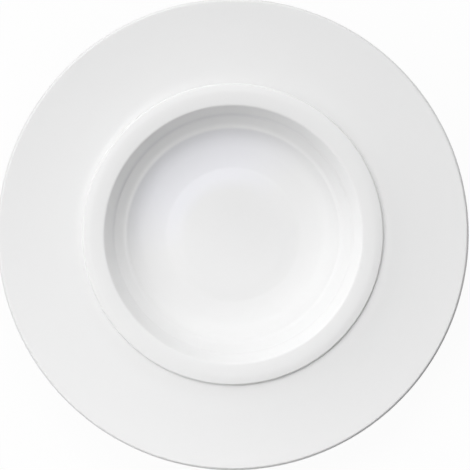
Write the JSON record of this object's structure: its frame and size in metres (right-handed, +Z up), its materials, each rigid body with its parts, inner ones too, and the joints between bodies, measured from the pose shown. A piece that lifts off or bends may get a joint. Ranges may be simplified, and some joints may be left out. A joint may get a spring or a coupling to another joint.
{
  "type": "deep plate",
  "caption": "Round white porcelain plate with a deep well, a raised collar round the well's mouth and a wide, nearly flat rim, for serving pasta, soup or risotto.",
  "frame": {"origin": "on the plate's axis, at the foot ring's standing face", "axes": "+Z up along the plate's axis; X and Y lie in the table's plane and are alike"},
  "size_m": [0.3, 0.3, 0.0433],
  "materials": {
    "biscuit": "bare fired porcelain, matt",
    "glaze": "white satin glaze"
  },
  "bodies": {
    "root": {"porcelain_body": "biscuit", "glaze_coat": "glaze", "foot_recess_glaze": "glaze"}
  },
  "joints": []
}
